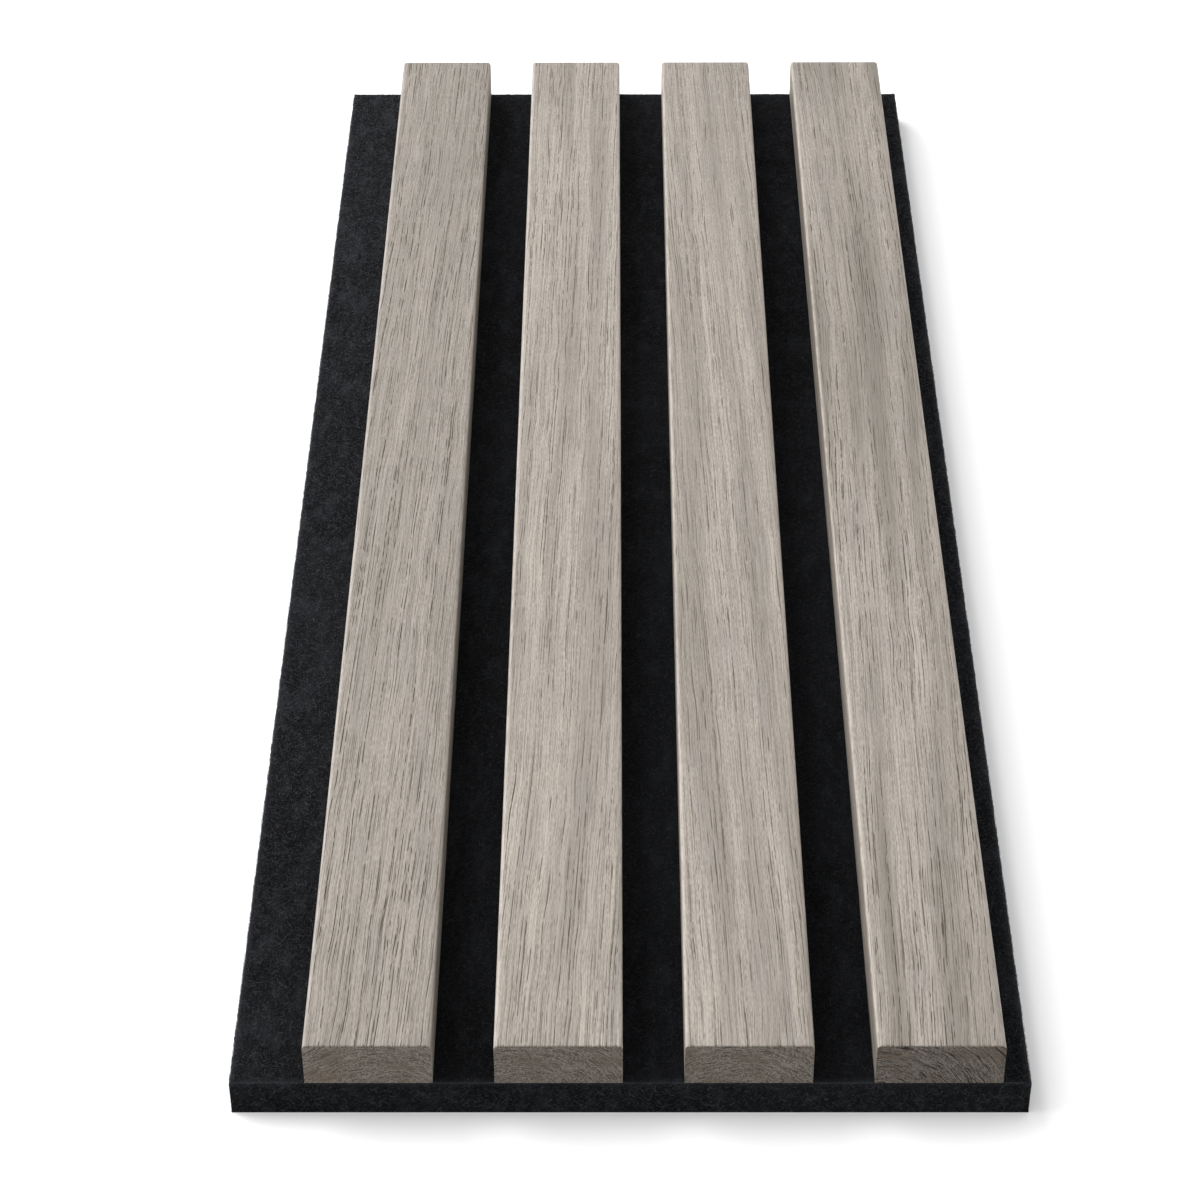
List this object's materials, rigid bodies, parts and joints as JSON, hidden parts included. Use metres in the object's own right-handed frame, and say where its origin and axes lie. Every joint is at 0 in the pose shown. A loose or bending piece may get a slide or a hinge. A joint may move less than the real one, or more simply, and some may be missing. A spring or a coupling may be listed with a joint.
{
  "type": "slatted acoustic wall panel",
  "caption": "Slatted wall panel: greyed oak slats with eased edges, bonded side by side to a charcoal felt backing board, fixed flat to a wall or ceiling to line it and absorb sound.",
  "frame": {"origin": "middle of the felt's back face, which lies on the wall or on the floor", "axes": "+X across the slats towards the narrow felt margin, +Y along the slats, +Z out of the face"},
  "size_m": [0.169, 0.42, 0.02],
  "materials": {
    "felt": "needled polyester felt board, charcoal, matt, with short loose fibres",
    "oak": "solid oak, brushed along the grain and greyed, matt, ends sawn bare"
  },
  "bodies": {
    "root": {"felt_backing": "felt", "slat_1": "oak", "slat_2": "oak", "slat_3": "oak", "slat_4": "oak"}
  },
  "joints": []
}
